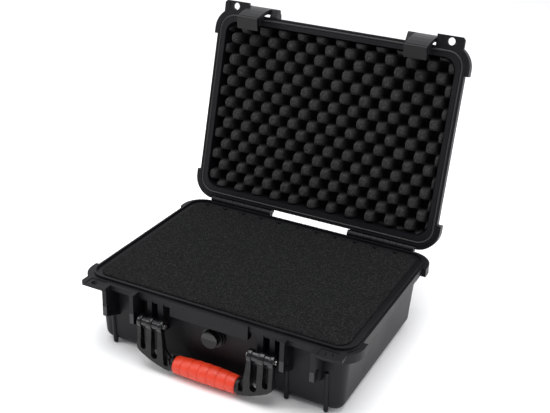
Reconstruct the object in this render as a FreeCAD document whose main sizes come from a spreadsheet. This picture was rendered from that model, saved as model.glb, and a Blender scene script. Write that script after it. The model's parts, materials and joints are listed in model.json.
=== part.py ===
import FreeCAD, Part
import math
import os
import re
import Sketcher

# Hinged hard equipment case, shown open.  Millimetres, +Z up, front towards -Y.
# Origin: centre of the flat stacking pad under the base, on the plane the case stands on.
# The lid and all it carries are drawn closed, then turned open about the hinge axis.

doc = FreeCAD.newDocument("EquipmentCase")
sheet = doc.addObject("Spreadsheet::Sheet", "Dims")

# ---------------------------------------------------------------- driving dimensions
DIMENSIONS = {
    # shells
    "case_width": 404, "case_depth": 295, "rim_radius": 28, "parting_height": 108,
    "lid_height": 54, "wall": 3.2, "foot_height": 3.8, "rim_height": 12, "lid_gap": 0.2,
    "wall_inset": 11, "floor_inset": 17, "crown_inset": 16, "mouth_inset": 13,
    "shell_radius": 17, "mouth_radius": 20, "floor_radius": 14, "floor_round": 12, "crown_round": 10,
    "pad_inset": 46, "top_panel_rise": 1.6, "bumper_out": 6, "bumper_height": 13, "bumper_run": 37,
    # the ridge on the base and the sealing groove in the lid
    "ridge_inset": 3.6, "ridge_width": 2.8, "ridge_height": 3.4, "groove_play": 0.6, "groove_depth": 6.4,
    "gasket_height": 2.8, "gasket_play": 0.2,
    # hinge
    "hinge_back": 6.5, "hinge_rise": 2.5, "knuckle_size": 5, "hinge_start": 66, "hinge_end_knuckle": 17,
    "hinge_base_knuckle": 11, "hinge_lid_knuckle": 9.2, "hinge_play": 0.5, "hinge_pin_size": 2, "cover_play": 0.7,
    "pin_chamfer": 0.4, "pin_head_size": 3.2, "pin_head_height": 2.2, "pin_head_play": 0.4,
    "running_play": 0.05, "open_angle": 103.5,
    # padlock ears
    "ear_inner": 153, "ear_outer": 194.5, "ear_out": 17, "ear_thickness": 5, "ear_chamfer": 3.5,
    "lock_hole_x": 175, "lock_hole_out": 9, "lock_hole_size": 5.6, "shackle_room": 8, "ear_dish": 0.8,
    # front ribs, catch ledges and webs
    "ear_rib_width": 6.5, "ear_rib_out": 15.8, "rib_foot": 64, "rib_root": 51,
    "inner_rib_x": 110, "inner_rib_width": 6.3, "inner_rib_out": 14.6, "ledge_out": 4.7, "ledge_height": 8.2,
    "web_out": 1.2, "panel_out": 4.2, "panel_half": 58.8, "panel_foot": 87, "slot_top": 100.5,
    "bead_outer_x": 164.5, "bead_inner_x": 107.2, "bead_size": 3.4,
    # handle
    "pivot_out": 10.1, "pivot_height": 71.7, "pivot_size": 7, "handle_pin_size": 2.2,
    "finger_outer": 97, "finger_outer_end": 102.6, "lug_outer": 89.2, "lug_outer_end": 96.6,
    "finger_mid": 80.4, "finger_mid_end": 88.8, "lug_inner": 71.2, "lug_inner_end": 80,
    "finger_inner": 64.4, "finger_inner_end": 70.8, "handle_thickness": 9.6,
    "arm_out": 18.4, "step_in": 1.3, "step_foot": 43.9, "step_head": 53.6,
    "outer_slot_foot": 32.5, "middle_slot_foot": 22.3,
    "grip_half": 48, "grip_height": 16.9, "grip_out": 7.9, "grip_end_size": 12.4, "grip_mid_size": 15,
    "bar_size": 8, "neck_size": 11, "neck_length": 5,
    # latches
    "latch_x": 134.8, "latch_width": 34.6, "latch_pin_out": 8.5, "latch_pin_rise": 13, "latch_pin_size": 1.8,
    "latch_lean": 14.3, "latch_barrel_size": 4.8, "latch_side_play": 0.6, "hook_side_play": 0.4,
    "hook_pin_in": 9.8, "hook_pin_drop": 42, "hook_pin_size": 1.5, "hook_head_size": 4.2, "cheek": 2.2,
    "lid_boss_out": 9.5, "inner_boss_width": 12, "outer_boss_width": 9,
    # pressure valve
    "valve_height": 66.5, "valve_size": 12.2, "valve_face_out": 2, "valve_flange_size": 15,
    "valve_boss_size": 17, "valve_seat_in": 10, "valve_stem_size": 9, "valve_depth": 11, "valve_tail": 6,
    "seal_height": 1.6, "valve_flange_height": 2, "valve_screw_size": 4, "air_way_size": 2,
    "membrane_size": 5.9, "valve_nut_size": 14, "valve_nut_height": 5,
    # foam
    "foam_gap": 1.5, "lid_foam_gap": 3, "foam_clear": 0.6, "foam_pad_height": 12, "foam_split": 44, "foam_top": 110.6,
    "egg_foam_face": 2.6, "foam_radius": 21,
}
for row, (alias, value) in enumerate(DIMENSIONS.items(), start=1):
    sheet.set(f"A{row}", alias)
    sheet.set(f"B{row}", str(value))
    sheet.setAlias(f"B{row}", alias)
doc.recompute()

WORDS = re.compile(r"\b(" + "|".join(sorted(DIMENSIONS, key=len, reverse=True)) + r")\b")


def bind(obj, prop, text):
    """Tie a property to a formula written in the sheet's aliases."""
    obj.setExpression(prop, WORDS.sub(r"Dims.\1", str(text)))


def size(text):
    """The number a formula in the sheet's aliases has."""
    names = {alias: float(sheet.get(alias)) for alias in set(WORDS.findall(text))}
    total = WORDS.sub(lambda word: repr(names[word.group(1)]), text)
    return float(FreeCAD.Units.Quantity(total).Value)


# ---------------------------------------------------------------- building blocks
PLANES = {
    "XY": FreeCAD.Rotation(),
    "XZ": FreeCAD.Rotation(FreeCAD.Vector(1, 0, 0), 90),
    "YZ": FreeCAD.Rotation(FreeCAD.Vector(1, 1, 1), 120),
}
TOWARDS = {"XY": (0, 0, 1), "XZ": (0, -1, 0), "YZ": (1, 0, 0)}


def place(obj, x="0", y="0", z="0"):
    for axis, text in zip("xyz", (x, y, z)):
        bind(obj, f"Placement.Base.{axis}", text)


def box(name, x, y, z):
    """A block between two formulas along each axis."""
    obj = doc.addObject("Part::Box", name)
    for prop, (low, high) in zip(("Length", "Width", "Height"), (x, y, z)):
        bind(obj, prop, f"({high}) - ({low})")
    place(obj, x[0], y[0], z[0])
    return obj


def rod(name, axis, radius, span, centre):
    """A cylinder along an axis, over a span, centred on the other two coordinates."""
    obj = doc.addObject("Part::Cylinder", name)
    bind(obj, "Radius", radius)
    bind(obj, "Height", f"({span[1]}) - ({span[0]})")
    if axis == "X":
        obj.Placement.Rotation = FreeCAD.Rotation(FreeCAD.Vector(0, 1, 0), 90)
        place(obj, span[0], centre[0], centre[1])
    elif axis == "Y":
        obj.Placement.Rotation = FreeCAD.Rotation(FreeCAD.Vector(1, 0, 0), -90)
        place(obj, centre[0], span[0], centre[1])
    else:
        place(obj, centre[0], centre[1], span[0])
    return obj


def rounded_sketch(name, width, depth, radius, height):
    """A rounded rectangle about the Z axis, at a height."""
    sketch = doc.addObject("Sketcher::SketchObject", name)
    a, b, r = size(width) / 2, size(depth) / 2, size(radius)
    corners = [(1, -1), (1, 1), (-1, 1), (-1, -1)]
    vector = FreeCAD.Vector
    lines = [((-a + r, -b), (a - r, -b)), ((a, -b + r), (a, b - r)),
             ((a - r, b), (-a + r, b)), ((-a, b - r), (-a, -b + r))]
    for start, end in lines:
        sketch.addGeometry(Part.LineSegment(vector(*start, 0), vector(*end, 0)), False)
    for turn, (sx, sy) in enumerate(corners):
        circle = Part.Circle(vector(sx * (a - r), sy * (b - r), 0), vector(0, 0, 1), r)
        begin = -math.pi / 2 + turn * math.pi / 2
        sketch.addGeometry(Part.ArcOfCircle(circle, begin, begin + math.pi / 2), False)
    rule = Sketcher.Constraint
    for turn in range(4):
        sketch.addConstraint(rule("Tangent", turn, 2, 4 + turn, 1))
        sketch.addConstraint(rule("Tangent", 4 + turn, 2, (turn + 1) % 4, 1))
    for turn in range(2):
        sketch.addConstraint(rule("Horizontal", 2 * turn))
        sketch.addConstraint(rule("Vertical", 2 * turn + 1))
    for turn in range(1, 4):
        sketch.addConstraint(rule("Equal", 4, 4 + turn))
    sketch.addConstraint(rule("Symmetric", 0, 1, 2, 1, -1, 1))
    for kind, first, second, text in (("DistanceX", (0, 1), (0, 2), f"{width} - 2 * ({radius})"),
                                      ("DistanceY", (1, 1), (1, 2), f"{depth} - 2 * ({radius})")):
        index = sketch.addConstraint(rule(kind, *first, *second, size(text)))
        bind(sketch, f"Constraints[{index}]", text)
    index = sketch.addConstraint(rule("Radius", 4, r))
    bind(sketch, f"Constraints[{index}]", radius)
    place(sketch, z=height)
    return sketch


def outline_sketch(name, plane, points):
    """A closed polygon whose corners are formulas, drawn on a plane through the origin."""
    sketch = doc.addObject("Sketcher::SketchObject", name)
    spots = [FreeCAD.Vector(size(x), size(y), 0) for x, y in points]
    for start, end in zip(spots, spots[1:] + spots[:1]):
        sketch.addGeometry(Part.LineSegment(start, end), False)
    for turn in range(len(spots)):
        sketch.addConstraint(Sketcher.Constraint("Coincident", turn, 2, (turn + 1) % len(spots), 1))
    for turn, (x, y) in enumerate(points):
        for kind, text in (("DistanceX", x), ("DistanceY", y)):
            index = sketch.addConstraint(Sketcher.Constraint(kind, -1, 1, turn, 1, size(text)))
            bind(sketch, f"Constraints[{index}]", text)
    sketch.Placement.Rotation = PLANES[plane]
    return sketch


def extrude(name, sketch, direction, length):
    obj = doc.addObject("Part::Extrusion", name)
    obj.Base = sketch
    obj.DirMode = "Custom"
    obj.Dir = FreeCAD.Vector(*direction)
    obj.Solid = True
    bind(obj, "LengthFwd", length)
    return obj


def slab(name, width, depth, radius, low, high):
    """A flat rounded plate between two heights."""
    return extrude(name, rounded_sketch(name + "_outline", width, depth, radius, low),
                   (0, 0, 1), f"({high}) - ({low})")


def ring(name, width, depth, radius, inset, low, high):
    """A rounded rectangular ring, its band as wide as the inset."""
    outer = slab(name + "_outside", width, depth, radius, low, high)
    inner = slab(name + "_inside", f"{width} - 2 * ({inset})", f"{depth} - 2 * ({inset})",
                 f"{radius} - ({inset})", f"({low}) - 1", f"({high}) + 1")
    return cut(name, outer, [inner])


def prism(name, plane, points, low, high):
    """A polygon drawn on a plane and run between two coordinates along the plane's normal."""
    sketch = outline_sketch(name + "_outline", plane, points)
    if plane == "XY":
        place(sketch, z=low)
    elif plane == "YZ":
        place(sketch, x=low)
    else:
        place(sketch, y=high)
    return extrude(name, sketch, TOWARDS[plane], f"({high}) - ({low})")


def fuse(name, pieces):
    obj = doc.addObject("Part::MultiFuse", name)
    obj.Shapes = pieces
    obj.Refine = True
    return obj


def cut(name, base, tools):
    obj = doc.addObject("Part::Cut", name)
    obj.Base = base
    obj.Tool = tools[0] if len(tools) == 1 else fuse(name + "_tools", tools)
    return obj


def common(name, base, tool):
    obj = doc.addObject("Part::Common", name)
    obj.Base = base
    obj.Tool = tool
    return obj


def mirrored(name, source):
    """The same piece on the other side of the case."""
    obj = doc.addObject("Part::Mirroring", name)
    obj.Source = source
    obj.Normal = FreeCAD.Vector(1, 0, 0)
    return obj


def both_sides(name, piece):
    return [piece, mirrored(name + "_mirrored", piece)]


def rounded(name, source, radius, choose):
    """Round the edges that the choose function picks."""
    doc.recompute()
    obj = doc.addObject("Part::Fillet", name)
    obj.Base = source
    picked = [i for i, edge in enumerate(source.Shape.Edges, start=1) if choose(edge)]
    obj.Edges = [(i, size(radius), size(radius)) for i in picked]
    return obj


def pin(name, radius, span, centre):
    """A steel pin along X with chamfered ends."""
    shaft = rod(name + "_shaft", "X", radius, span, centre)
    doc.recompute()
    obj = doc.addObject("Part::Chamfer", name)
    obj.Base = shaft
    ends = [i for i, edge in enumerate(shaft.Shape.Edges, start=1) if edge.isClosed()]
    obj.Edges = [(i, size("pin_chamfer"), size("pin_chamfer")) for i in ends]
    return obj


def all_at(height):
    """Picks the edges that lie wholly at one height."""
    level = size(height)
    return lambda edge: max(abs(v.Point.z - level) for v in edge.Vertexes) < 0.01


def tapered(name, low, high, low_size, high_size, floor_round, rounded_end):
    """A tapering rounded block between two heights, with the edge of one end rounded."""
    loft = doc.addObject("Part::Loft", name + "_block")
    loft.Sections = [rounded_sketch(name + "_low", *low_size, low),
                     rounded_sketch(name + "_high", *high_size, high)]
    loft.Solid = True
    loft.Ruled = True
    if not floor_round:
        return loft
    return rounded(name, loft, floor_round, all_at(low if rounded_end == "low" else high))


def inset(amount, radius):
    """Width, depth and corner radius of the case's outline, brought in all round."""
    return (f"case_width - 2 * ({amount})", f"case_depth - 2 * ({amount})", radius)


NODES = {}


def node(name, obj, moves=None):
    """Name a finished sub-part, and turn it with the pieces it rides on."""
    obj.Label = name
    for turn in moves or []:
        obj.Placement = turn.multiply(obj.Placement)
    NODES[name] = obj
    return obj


FRONT = "-case_depth / 2"
REAR = "case_depth / 2"
TOP = "parting_height"
LID_FACE = "parting_height + lid_gap"
CLOSED_TOP = "parting_height + lid_gap + lid_height"
HINGE_Y = "case_depth / 2 + hinge_back"
HINGE_Z = "parting_height + hinge_rise"
PIVOT_Y = "-case_depth / 2 - pivot_out"
LATCH_Y = "-case_depth / 2 - latch_pin_out"
LATCH_Z = "parting_height + latch_pin_rise"
LATCH_IN = "latch_x - latch_width / 2"
LATCH_OUT = "latch_x + latch_width / 2"


def turned_about(y, z, degrees):
    """A turn about a line along X."""
    centre = FreeCAD.Vector(0, size(y), size(z))
    return FreeCAD.Placement(FreeCAD.Vector(), FreeCAD.Rotation(FreeCAD.Vector(1, 0, 0), degrees), centre)


LID_OPEN = turned_about(HINGE_Y, HINGE_Z, -size("open_angle"))
LATCH_LEAN = turned_about(LATCH_Y, LATCH_Z, size("latch_lean"))


def hinge_knuckles():
    """Spans along X of the base's and the lid's knuckles on the right-hand hinge."""
    base, lid, start = [], [], "hinge_start"
    for count in range(9):
        if count % 2:
            length, owner = "hinge_lid_knuckle", lid
        else:
            length, owner = ("hinge_end_knuckle" if count in (0, 8) else "hinge_base_knuckle"), base
        owner.append((start, f"{start} + {length}"))
        start = f"{start} + {length} + hinge_play"
    return base, lid, f"{start} - hinge_play"


BASE_KNUCKLES, LID_KNUCKLES, HINGE_END = hinge_knuckles()


def ear(name, low, high, dish_at):
    """Padlock ear with its hole, chamfered outside corner and shallow dished plate."""
    front = f"{FRONT} - ear_out"
    back = f"{FRONT} + 6"
    plate = prism(name + "_plate", "XY", [
        ("ear_inner", back), ("ear_inner", front), ("ear_outer - ear_chamfer", front),
        ("ear_outer", f"{front} + ear_chamfer"), ("ear_outer", back)], low, high)
    dish_low, dish_high = dish_at
    dish = box(name + "_dish", ("ear_inner + 8", "ear_outer - 8"), (f"{front} - 1", f"{FRONT} - 1"),
               (dish_low, dish_high))
    return cut(name, plate, [dish])


def corner_bumpers(name, low, high):
    """Thicker bands round the right-hand corners of a rim."""
    band = slab(name + "_band", "case_width + 2 * bumper_out", "case_depth + 2 * bumper_out",
                "rim_radius + bumper_out", low, high)
    tall = (f"({low}) - 1", f"({high}) + 1")
    front = box(name + "_zone_front", ("ear_inner", "case_width"), (f"{FRONT} - 20", f"{FRONT} + bumper_run"),
                tall)
    rear = box(name + "_zone_rear", (f"{HINGE_END} + 1.5", "case_width"),
               (f"{REAR} - bumper_run", f"{REAR} + 20"), tall)
    return common(name, band, fuse(name + "_zones", [front, rear]))


def valve_boss(name):
    """Thick round pad behind the front wall that the pressure valve is clamped on."""
    seat = f"{FRONT} + valve_seat_in"
    return rod(name, "Y", "valve_boss_size", (seat, f"{seat} + valve_depth"), ("0", "valve_height"))


# ---------------------------------------------------------------- base shell
def base_shell():
    hull = tapered("base_hull", "foot_height", f"{TOP} - 2", inset("floor_inset", "floor_radius"),
                   inset("wall_inset", "shell_radius"), "floor_round", "low")
    rim = rounded("base_rim", slab("base_rim_band", *inset("0", "rim_radius"), f"{TOP} - rim_height", TOP),
                  "1.5", all_at(f"{TOP} - rim_height"))
    pad = slab("stacking_pad", *inset("pad_inset", "mouth_radius"), "0", "foot_height + 1")
    ridge = ring("seal_ridge", *inset("ridge_inset", "rim_radius - ridge_inset"), "ridge_width",
                 f"{TOP} - 1", f"{TOP} + ridge_height")
    bead_y = "(case_depth / 2 - floor_inset - 0.6)"

    right = [corner_bumpers("base_bumpers", f"{TOP} - bumper_height - 1", f"{TOP} - 1"),
             ear("base_ear", f"{TOP} - ear_thickness", TOP, (f"{TOP} - ear_dish", f"{TOP} + 1"))]
    ear_rib_front = f"{FRONT} - ear_rib_out"
    right.append(prism("ear_rib", "YZ", [
        (f"{FRONT} + 15", TOP), (ear_rib_front, TOP), (ear_rib_front, "rib_foot"),
        (f"{FRONT} + 15", "rib_root")], "ear_inner", "ear_inner + ear_rib_width"))
    inner_rib_front = f"{FRONT} - inner_rib_out"
    right.append(prism("inner_rib", "YZ", [
        (f"{FRONT} + 15", TOP), (inner_rib_front, TOP), (inner_rib_front, "rib_foot"),
        (f"{FRONT} + 15", "rib_root")],
        "inner_rib_x", "inner_rib_x + inner_rib_width"))
    right.append(prism("catch_ledge", "YZ", [
        (f"{FRONT} + 2", TOP), (f"{FRONT} - ledge_out + 1", TOP), (f"{FRONT} - ledge_out", f"{TOP} - 1"),
        (f"{FRONT} - ledge_out", f"{TOP} - ledge_height"), (f"{FRONT} + 2", f"{TOP} - ledge_height")],
        "inner_rib_x", "ear_inner + 1"))

    for name, low, high in (("outer_web", "lug_outer", "lug_outer_end"),
                            ("inner_web", "lug_inner", "lug_inner_end")):
        lug = rod(name + "_eye", "X", "pivot_size", (low, high), (PIVOT_Y, "pivot_height"))
        arm = prism(name, "YZ", [
            (f"{FRONT} + 15", TOP), (f"{FRONT} - web_out", TOP), (f"{FRONT} - web_out", "pivot_height + 2"),
            (f"{PIVOT_Y} + 4", "pivot_height + 3"), (f"{PIVOT_Y} - 4", "pivot_height - 5.5"),
            (f"{PIVOT_Y} - 2", "pivot_height - 12"), (f"{FRONT} + 15", "pivot_height - 17")], low, high)
        right += [lug, arm]
    right.append(box("web_header", ("panel_half", "inner_rib_x + 1"), (f"{FRONT} - web_out", f"{FRONT} + 6"),
                     ("slot_top", TOP)))

    lean = math.degrees(math.atan(size("(floor_inset - wall_inset) / parting_height")))
    for name, x in (("outer_bead", "bead_outer_x"), ("inner_bead", "bead_inner_x")):
        for end, side in (("front", 1), ("rear", -1)):
            y = f"{-side} * {bead_y}"
            bead = rod(f"{name}_{end}", "Z", "bead_size", ("bead_size", "rib_foot"), (x, y))
            bead.Placement.Rotation = FreeCAD.Rotation(FreeCAD.Vector(1, 0, 0), side * lean)
            foot = doc.addObject("Part::Sphere", f"{name}_{end}_foot")
            bind(foot, "Radius", "bead_size")
            place(foot, x, y, "bead_size")
            right += [bead, foot]

    for count, (low, high) in enumerate(BASE_KNUCKLES):
        right.append(rod(f"base_knuckle_{count}", "X", "knuckle_size", (low, high), (HINGE_Y, HINGE_Z)))
        right.append(prism(f"base_hinge_arm_{count}", "YZ", [
            (f"{REAR} - 6", f"{TOP} - 1"), (f"{REAR} - 6", f"{TOP} - rim_height"),
            (f"{REAR} + 1", f"{TOP} - rim_height - 6"), (f"{HINGE_Y} + knuckle_size", f"{HINGE_Z} - 3"),
            (f"{HINGE_Y} + knuckle_size", HINGE_Z), (HINGE_Y, HINGE_Z), (REAR, f"{TOP} - 1")], low, high))

    panel = box("name_panel", ("-panel_half", "panel_half"), (f"{FRONT} - panel_out", f"{FRONT} + 6"),
                ("panel_foot", TOP))
    trim = fuse("base_right_trim", right)
    solid = fuse("base_solid", [hull, rim, pad, ridge, panel, valve_boss("valve_boss")]
                 + both_sides("base_trim", trim))

    cavity = tapered("base_cavity", "foot_height + wall", f"{TOP} + 10",
                     inset("floor_inset + wall", "mouth_radius - wall"), inset("mouth_inset", "mouth_radius"),
                     "floor_round - wall", "low")
    room = cut("base_room", cavity, [valve_boss("valve_boss_kept")])
    holes = [room, rod("valve_hole", "Y", "valve_stem_size", (FRONT, f"{FRONT} + 40"), ("0", "valve_height"))]
    right_holes = fuse("base_right_holes", [
        rod("base_lock_hole", "Z", "lock_hole_size", ("rib_foot", f"{TOP} + 5"),
            ("lock_hole_x", f"{FRONT} - lock_hole_out")),
        rod("base_shackle_room", "Z", "shackle_room", (f"{TOP} - bumper_height - 3", f"{TOP} - ear_thickness"),
            ("lock_hole_x", f"{FRONT} - lock_hole_out")),
        rod("base_hinge_bore", "X", "hinge_pin_size", ("hinge_start - 1", f"{HINGE_END} + 1"),
            (HINGE_Y, HINGE_Z)),
        rod("handle_pin_bore", "X", "handle_pin_size", ("lug_inner - 1", "lug_outer_end + 1"),
            (PIVOT_Y, "pivot_height"))])
    return cut("base_shell_body", solid, holes + both_sides("base_holes", right_holes))


node("base_shell", base_shell())


# ---------------------------------------------------------------- lid shell
def lid_shell():
    dome = tapered("lid_dome", f"{LID_FACE} + 2", CLOSED_TOP, inset("wall_inset", "shell_radius"),
                   inset("crown_inset", "mouth_radius"), "crown_round", "high")
    rim = rounded("lid_rim", slab("lid_rim_band", *inset("0", "rim_radius"), LID_FACE,
                                  f"{LID_FACE} + rim_height"),
                  "1.5", all_at(f"{LID_FACE} + rim_height"))
    right = [corner_bumpers("lid_bumpers", f"{LID_FACE} + 1", f"{LID_FACE} + 1 + bumper_height"),
             ear("lid_ear", LID_FACE, f"{LID_FACE} + ear_thickness",
                 (f"{LID_FACE} - 1", f"{LID_FACE} + ear_dish"))]
    boss_front = f"{FRONT} - lid_boss_out"
    bosses = (("inner_boss", f"{LATCH_IN} - inner_boss_width", f"{LATCH_IN} - latch_side_play"),
              ("outer_boss", f"{LATCH_OUT} + latch_side_play", f"{LATCH_OUT} + outer_boss_width"))
    for name, low, high in bosses:
        right.append(prism(name, "YZ", [
            (f"{FRONT} + 12", f"{LID_FACE} + 4"), (f"{FRONT} - 1", f"{LID_FACE} + 4"),
            (boss_front, f"{LATCH_Z} - 5"), (boss_front, f"{LATCH_Z} + 4"),
            (f"{boss_front} + 4", f"{LATCH_Z} + 8"), (f"{FRONT} + 14", f"{LATCH_Z} + 14")], low, high))
        right.append(rod(name + "_eye", "X", "5", (low, high), (LATCH_Y, LATCH_Z)))
    for count, (low, high) in enumerate(LID_KNUCKLES):
        right.append(rod(f"lid_knuckle_{count}", "X", "knuckle_size", (low, high), (HINGE_Y, HINGE_Z)))
        right.append(prism(f"lid_hinge_arm_{count}", "YZ", [
            (f"{REAR} - 6", f"{LID_FACE} + 3"), (f"{REAR} + 0.1", f"{LID_FACE} + 3"), (HINGE_Y, HINGE_Z),
            (f"{HINGE_Y} + knuckle_size", HINGE_Z), (f"{HINGE_Y} + knuckle_size", f"{HINGE_Z} + 3"),
            (f"{REAR} + 1", f"{LID_FACE} + rim_height + 5"), (f"{REAR} - 6", f"{LID_FACE} + rim_height - 1")],
            low, high))
    cover_low = f"{HINGE_Z} + knuckle_size + cover_play"
    right.append(box("hinge_cover", ("hinge_start", HINGE_END), (f"{REAR} - 2", HINGE_Y),
                     (cover_low, f"{cover_low} + 2.8")))
    trim = fuse("lid_right_trim", right)
    panel = slab("lid_top_panel", *inset("pad_inset", "mouth_radius"), f"{CLOSED_TOP} - 1",
                 f"{CLOSED_TOP} + top_panel_rise")
    solid = fuse("lid_solid", [dome, rim, panel] + both_sides("lid_trim", trim))

    cavity = tapered("lid_cavity", f"{LID_FACE} - 10", f"{CLOSED_TOP} - wall",
                     inset("mouth_inset", "mouth_radius"),
                     inset("crown_inset + wall", "mouth_radius - wall"), "crown_round - wall", "high")
    groove = ring("seal_groove",
                  *inset("ridge_inset - groove_play", "rim_radius - ridge_inset + groove_play"),
                  "ridge_width + 2 * groove_play", f"{LID_FACE} - 1", f"{LID_FACE} + groove_depth")
    reach = "hinge_pin_size + running_play"
    right_holes = fuse("lid_right_holes", [
        rod("lid_lock_hole", "Z", "lock_hole_size", (f"{TOP} - 5", f"{LID_FACE} + 20"),
            ("lock_hole_x", f"{FRONT} - lock_hole_out")),
        rod("lid_shackle_room", "Z", "shackle_room",
            (f"{LID_FACE} + ear_thickness", f"{LID_FACE} + bumper_height + 3"),
            ("lock_hole_x", f"{FRONT} - lock_hole_out")),
        rod("lid_hinge_bore", "X", reach, ("hinge_start - 1", f"{HINGE_END} + 1"), (HINGE_Y, HINGE_Z)),
        rod("latch_pin_bore", "X", "latch_pin_size + running_play",
            (f"{LATCH_IN} - 8", f"{LATCH_OUT} + 6"), (LATCH_Y, LATCH_Z))])
    return cut("lid_shell_body", solid, [cavity, groove] + both_sides("lid_holes", right_holes))


node("lid_shell", lid_shell(), [LID_OPEN])
GASKET_INSET = "(ridge_inset - groove_play + gasket_play)"
node("lid_gasket", ring("gasket_ring", *inset(GASKET_INSET, f"rim_radius - {GASKET_INSET}"),
                        "ridge_width + 2 * groove_play - 2 * gasket_play",
                        f"{LID_FACE} + groove_depth - gasket_height", f"{LID_FACE} + groove_depth"),
     [LID_OPEN])


# ---------------------------------------------------------------- foam inserts
def foam_block(name, low, high, low_inset, high_inset):
    return tapered(name, low, high, inset(low_inset, "foam_radius - 2"), inset(high_inset, "foam_radius"),
                   None, None)


FLOOR = "foot_height + wall"
WALL_SLOPE = "(floor_inset + wall - mouth_inset)"


def wall_at(height):
    """How far in the base's inner wall is at a height."""
    return f"(mouth_inset + foam_gap + {WALL_SLOPE} * (parting_height - ({height})) / parting_height)"


node("base_foam_pad", slab("foam_pad", *inset(f"{wall_at(FLOOR)} + floor_round / 2", "foam_radius"),
                           f"{FLOOR} + foam_clear", f"{FLOOR} + foam_pad_height"))
node("base_foam_lower", foam_block("lower_foam", f"{FLOOR} + foam_pad_height + foam_clear", "foam_split",
                                   f"{wall_at(FLOOR)} + 1", wall_at("foam_split")))
UPPER_FOAM = foam_block("upper_foam_block", "foam_split + foam_clear", "foam_top",
                        wall_at("foam_split"), wall_at("foam_top"))
POCKET_BACK = f"{FRONT} + valve_seat_in + valve_depth + valve_tail + foam_gap"
VALVE_POCKET = box("valve_pocket", ("-valve_boss_size - foam_gap", "valve_boss_size + foam_gap"),
                   (FRONT, POCKET_BACK),
                   ("valve_height - valve_boss_size - foam_gap", "valve_height + valve_boss_size + foam_gap"))
node("base_foam_upper", cut("upper_foam", UPPER_FOAM, [VALVE_POCKET]))
node("lid_foam", foam_block("egg_foam", f"{LID_FACE} + egg_foam_face", f"{CLOSED_TOP} - wall - foam_clear",
                            "mouth_inset + lid_foam_gap", "crown_inset + wall + crown_round * 0.6"), [LID_OPEN])


# ---------------------------------------------------------------- hinge and handle pins
def pair(name, piece, moves=None):
    """The right-hand piece and its mirror image as two sub-parts."""
    node(name + "_right", piece, moves)
    other = mirrored(name + "_other", piece)
    if moves:
        doc.recompute()
    node(name + "_left", other)


pair("hinge_pin", pin("hinge_pin_rod", "hinge_pin_size", ("hinge_start + 1", f"{HINGE_END} - 1"),
                      (HINGE_Y, HINGE_Z)))
PIVOT = (PIVOT_Y, "pivot_height")
pair("handle_pin", fuse("handle_pin_rod", [
    rod("handle_pin_shaft", "X", "handle_pin_size", ("finger_inner - 1", "finger_outer_end + 1"), PIVOT),
    rod("handle_pin_head", "X", "pin_head_size",
        ("finger_inner - pin_head_play - pin_head_height", "finger_inner - pin_head_play"), PIVOT),
    rod("handle_pin_rivet", "X", "pin_head_size",
        ("finger_outer_end + pin_head_play", "finger_outer_end + pin_head_play + pin_head_height"), PIVOT)]))


# ---------------------------------------------------------------- handle
GRIP_Y = "-case_depth / 2 - grip_out"
ARM_FRONT = "-case_depth / 2 - arm_out"
ARM_BACK = f"{ARM_FRONT} + handle_thickness"
FINGERS = (("outer_finger", "finger_outer", "finger_outer_end"),
           ("middle_finger", "finger_mid", "finger_mid_end"),
           ("inner_finger", "finger_inner", "finger_inner_end"))


def handle_side():
    """One arm: three fingers on the pivot, joined by a sloping rail down to the grip's neck."""
    neck_end = "grip_half + neck_length"
    plate = prism("arm_plate", "XZ", [
        (f"{neck_end} - 1", "grip_height + 9"), ("finger_inner - 3", "38"),
        ("finger_inner", "pivot_height - 8"), ("finger_inner", "pivot_height"),
        ("finger_outer_end", "pivot_height"), ("finger_outer_end", "31.5"), ("finger_outer", "26.5"),
        ("85", "20"), ("73", "15"), ("60", "11.5"), (f"{neck_end} - 1", "10.6")], ARM_FRONT, ARM_BACK)
    step = prism("finger_step", "YZ", [
        (f"{ARM_FRONT} - 1", "step_foot"), (ARM_FRONT, "step_foot"), (f"{ARM_FRONT} + step_in", "step_head"),
        (f"{ARM_FRONT} + step_in", "pivot_height + 1"), (f"{ARM_FRONT} - 1", "pivot_height + 1")],
        "finger_inner - 8", "finger_outer_end + 1")
    pocket = prism("neck_pocket", "XZ", [
        (f"{neck_end} + 1", "17"), ("finger_inner - 3.9", "17"), ("finger_inner - 2.2", "40"),
        (f"{neck_end} + 1", "29")], f"{ARM_FRONT} - 1", f"{ARM_FRONT} + handle_thickness * 0.6")
    pieces = [cut("stepped_plate", plate, [step, pocket])]
    for name, low, high in FINGERS:
        pieces.append(rod(name + "_eye", "X", "pivot_size", (low, high), PIVOT))
    pieces.append(rod("neck", "X", "neck_size", ("grip_half", neck_end), (GRIP_Y, "grip_height")))
    slots = []
    for name, low, high, foot in (("outer_slot", "finger_mid_end", "finger_outer", "outer_slot_foot"),
                                  ("middle_slot", "finger_inner_end", "finger_mid", "middle_slot_foot")):
        deep = (f"{ARM_FRONT} - 9", f"{ARM_BACK} + 9")
        half = f"(({high}) - ({low})) / 2"
        slots.append(box(name, (low, high), deep, (f"{foot} + {half}", "pivot_height + 10")))
        slots.append(rod(name + "_end", "Y", half, deep, (f"({low}) + {half}", f"{foot} + {half}")))
    body = cut("arm_with_slots", fuse("arm_body", pieces), slots)
    bore = rod("arm_bore", "X", "handle_pin_size + running_play",
               ("finger_inner - 2", "finger_outer_end + 2"), PIVOT)
    return cut("arm_with_bore", body, [bore])


ARM = handle_side()
node("handle_frame", fuse("handle_frame_body", both_sides("arm", ARM) + [
    rod("grip_bar", "X", "bar_size", ("-grip_half - 1", "grip_half + 1"), (GRIP_Y, "grip_height"))]))


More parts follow.
